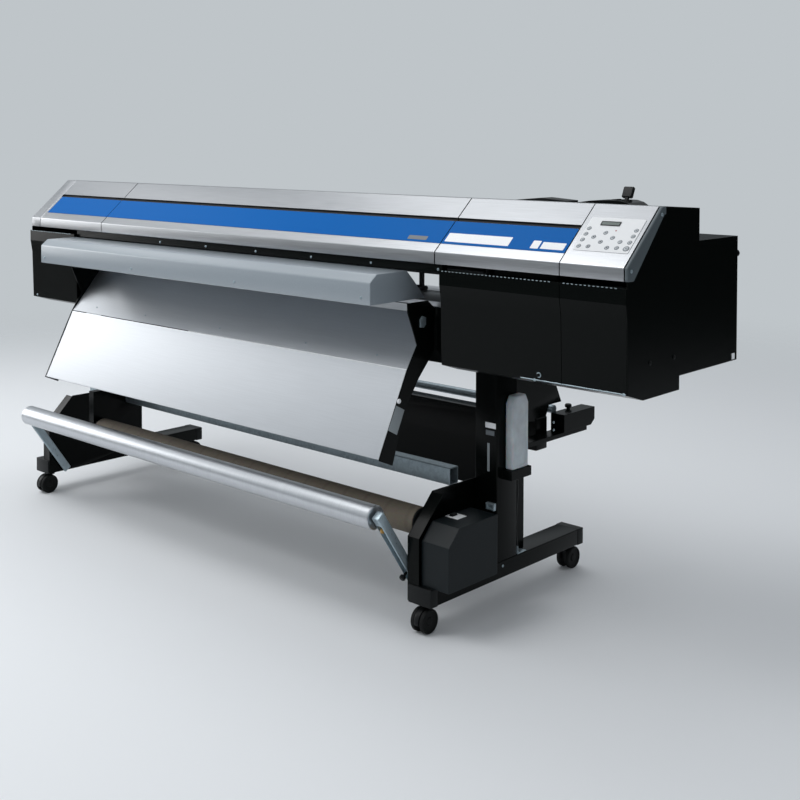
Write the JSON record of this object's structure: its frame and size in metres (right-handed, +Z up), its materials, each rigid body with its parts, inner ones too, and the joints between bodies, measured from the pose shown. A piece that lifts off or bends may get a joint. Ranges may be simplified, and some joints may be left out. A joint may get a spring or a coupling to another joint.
{
  "type": "wide-format printer cutter",
  "caption": "Free-standing roll-fed printer cutter with opening front cover, dryer hood and heated apron, caster stand, take-up unit with dancer roller, and rear media rack.",
  "frame": {"origin": "on the floor, below the middle of the bounding box", "axes": "+X along the machine towards the control panel, +Y from the front to the rear, +Z up"},
  "size_m": [2.885, 0.9679, 1.2987],
  "materials": {
    "chassis_beam": "satin black paint",
    "left_side_panel": "satin black paint",
    "right_side_panel": "satin black paint",
    "left_lower_cover": "satin black paint",
    "right_lower_cover_inner": "satin black paint",
    "right_lower_cover_outer": "satin black paint",
    "left_end_cap": "brushed",
    "right_end_cap": "grey moulding",
    "left_top_cover": "brushed",
    "right_top_cover": "brushed",
    "control_panel_housing": "brushed",
    "left_blue_strip": "blue film",
    "right_blue_strip": "blue film",
    "control_panel_overlay": "printed film",
    "rear_top_cover": "satin black paint",
    "rear_box": "satin black paint",
    "front_rail": "satin black paint",
    "front_platen": "satin",
    "rear_platen": "satin",
    "carriage_rail": "satin",
    "dryer_hood": "grey paint",
    "apron_upper": "satin",
    "apron_lower": "satin",
    "apron_bracket_left": "satin black paint",
    "apron_bracket_right": "satin black paint",
    "foot_left": "satin black paint",
    "foot_right": "satin black paint",
    "column_left": "satin black paint",
    "column_right": "satin black paint",
    "cross_beam": "galvanised",
    "rear_stay": "satin black paint",
    "roll_arm_left": "satin black paint",
    "roll_arm_right": "satin black paint",
    "media_bar": "grey paint",
    "takeup_plate_left": "satin black paint",
    "takeup_plate_right": "satin black paint",
    "motor_box": "satin black paint",
    "core_bracket_left": "satin black paint",
    "front_cover": "brushed",
    "front_blue_strip": "blue film",
    "loading_lever": "black",
    "pinch_roller_bar": "satin black paint",
    "grit_roller": "brushed",
    "print_carriage": "black",
    "tool_holder": "satin",
    "core_tube": "wound board",
    "core_chuck_left": "black",
    "core_chuck_right": "black",
    "dancer_frame": "satin",
    "dancer_roller": "satin",
    "motor_switch": "black",
    "waste_bottle": "translucent milky",
    "caster_fork_left_front": "black",
    "caster_wheel_left_front": "grey-black tread",
    "caster_fork_left_rear": "black",
    "caster_wheel_left_rear": "grey-black tread",
    "caster_fork_right_front": "black",
    "caster_wheel_right_front": "grey-black tread",
    "caster_fork_right_rear": "black",
    "caster_wheel_right_rear": "grey-black tread"
  },
  "bodies": {
    "machine": {"chassis_beam": "chassis_beam", "left_side_panel": "left_side_panel", "right_side_panel": "right_side_panel", "left_lower_cover": "left_lower_cover", "right_lower_cover_inner": "right_lower_cover_inner", "right_lower_cover_outer": "right_lower_cover_outer", "left_end_cap": "left_end_cap", "right_end_cap": "right_end_cap", "left_top_cover": "left_top_cover", "right_top_cover": "right_top_cover", "control_panel_housing": "control_panel_housing", "left_blue_strip": "left_blue_strip", "right_blue_strip": "right_blue_strip", "control_panel_overlay": "control_panel_overlay", "rear_top_cover": "rear_top_cover", "rear_box": "rear_box", "front_rail": "front_rail", "front_platen": "front_platen", "rear_platen": "rear_platen", "carriage_rail": "carriage_rail", "dryer_hood": "dryer_hood", "apron_upper": "apron_upper", "apron_lower": "apron_lower", "apron_bracket_left": "apron_bracket_left", "apron_bracket_right": "apron_bracket_right", "foot_left": "foot_left", "foot_right": "foot_right", "column_left": "column_left", "column_right": "column_right", "cross_beam": "cross_beam", "rear_stay": "rear_stay", "roll_arm_left": "roll_arm_left", "roll_arm_right": "roll_arm_right", "media_bar": "media_bar", "takeup_plate_left": "takeup_plate_left", "takeup_plate_right": "takeup_plate_right", "motor_box": "motor_box", "core_bracket_left": "core_bracket_left"},
    "opening_cover": {"front_cover": "front_cover", "front_blue_strip": "front_blue_strip"},
    "lever": {"loading_lever": "loading_lever"},
    "pinch_bar": {"pinch_roller_bar": "pinch_roller_bar"},
    "feed_roller": {"grit_roller": "grit_roller"},
    "carriage": {"print_carriage": "print_carriage"},
    "tool": {"tool_holder": "tool_holder"},
    "takeup_roll": {"core_tube": "core_tube", "core_chuck_left": "core_chuck_left", "core_chuck_right": "core_chuck_right"},
    "dancer": {"dancer_frame": "dancer_frame"},
    "dancer_tube": {"dancer_roller": "dancer_roller"},
    "switch": {"motor_switch": "motor_switch"},
    "bottle": {"waste_bottle": "waste_bottle"},
    "caster_left_front": {"caster_fork_left_front": "caster_fork_left_front"},
    "wheel_left_front": {"caster_wheel_left_front": "caster_wheel_left_front"},
    "caster_left_rear": {"caster_fork_left_rear": "caster_fork_left_rear"},
    "wheel_left_rear": {"caster_wheel_left_rear": "caster_wheel_left_rear"},
    "caster_right_front": {"caster_fork_right_front": "caster_fork_right_front"},
    "wheel_right_front": {"caster_wheel_right_front": "caster_wheel_right_front"},
    "caster_right_rear": {"caster_fork_right_rear": "caster_fork_right_rear"},
    "wheel_right_rear": {"caster_wheel_right_rear": "caster_wheel_right_rear"}
  },
  "joints": [
    {"name": "front_cover_hinge", "type": "hinge", "parent": "machine", "child": "opening_cover", "pos_m": [-0.0722, -0.0871, 1.25], "axis": [-1, 0, 0], "range_deg": [0, 70]},
    {"name": "loading_lever_pivot", "type": "hinge", "parent": "machine", "child": "lever", "pos_m": [1.258, -0.0131, 1.205], "axis": [1, 0, 0], "range_deg": [0, 50]},
    {"name": "pinch_bar_hinge", "type": "hinge", "parent": "machine", "child": "pinch_bar", "pos_m": [-0.2, 0.0589, 1.01], "axis": [-1, 0, 0], "range_deg": [0, 10]},
    {"name": "feed_roller_spin", "type": "hinge", "parent": "machine", "child": "feed_roller", "pos_m": [-0.2, 0.0019, 0.926], "axis": [1, 0, 0], "continuous": true},
    {"name": "carriage_slide", "type": "slide", "parent": "machine", "child": "carriage", "axis": [1, 0, 0], "range_m": [-2.05, 0]},
    {"name": "tool_slide", "type": "slide", "parent": "carriage", "child": "tool", "axis": [0, 0, 1], "range_m": [-0.018, 0]},
    {"name": "takeup_roll_spin", "type": "hinge", "parent": "machine", "child": "takeup_roll", "pos_m": [-0.1, -0.2811, 0.3], "axis": [1, 0, 0], "continuous": true},
    {"name": "dancer_swing", "type": "hinge", "parent": "machine", "child": "dancer", "pos_m": [-0.217, -0.2831, 0.105], "axis": [-1, 0, 0], "range_deg": [0, 15]},
    {"name": "dancer_roller_spin", "type": "hinge", "parent": "dancer", "child": "dancer_tube", "pos_m": [-0.217, -0.44796, 0.34309], "axis": [1, 0, 0], "continuous": true},
    {"name": "motor_switch_rocker", "type": "hinge", "parent": "machine", "child": "switch", "pos_m": [0.8143, -0.2156, 0.3218], "axis": [1, 0, 0], "range_deg": [-6, 6]},
    {"name": "bottle_lift", "type": "slide", "parent": "machine", "child": "bottle", "axis": [0, 0, 1], "range_m": [0, 0.08]},
    {"name": "caster_swivel_left_front", "type": "hinge", "parent": "machine", "child": "caster_left_front", "pos_m": [-1.2375, -0.3131, 0.085], "axis": [0, 0, 1], "continuous": true},
    {"name": "caster_roll_left_front", "type": "hinge", "parent": "caster_left_front", "child": "wheel_left_front", "pos_m": [-1.2375, -0.3321, 0.036], "axis": [1, 0, 0], "continuous": true},
    {"name": "caster_swivel_left_rear", "type": "hinge", "parent": "machine", "child": "caster_left_rear", "pos_m": [-1.2375, 0.3769, 0.085], "axis": [0, 0, 1], "continuous": true},
    {"name": "caster_roll_left_rear", "type": "hinge", "parent": "caster_left_rear", "child": "wheel_left_rear", "pos_m": [-1.2375, 0.3959, 0.036], "axis": [1, 0, 0], "continuous": true},
    {"name": "caster_swivel_right_front", "type": "hinge", "parent": "machine", "child": "caster_right_front", "pos_m": [0.8035, -0.3131, 0.085], "axis": [0, 0, 1], "continuous": true},
    {"name": "caster_roll_right_front", "type": "hinge", "parent": "caster_right_front", "child": "wheel_right_front", "pos_m": [0.8035, -0.3321, 0.036], "axis": [1, 0, 0], "continuous": true},
    {"name": "caster_swivel_right_rear", "type": "hinge", "parent": "machine", "child": "caster_right_rear", "pos_m": [0.8035, 0.3769, 0.085], "axis": [0, 0, 1], "continuous": true},
    {"name": "caster_roll_right_rear", "type": "hinge", "parent": "caster_right_rear", "child": "wheel_right_rear", "pos_m": [0.8035, 0.3959, 0.036], "axis": [1, 0, 0], "continuous": true}
  ],
  "couplings": [
    {"joint": "pinch_bar_hinge", "follows": "loading_lever_pivot", "ratio": 0.2}
  ]
}
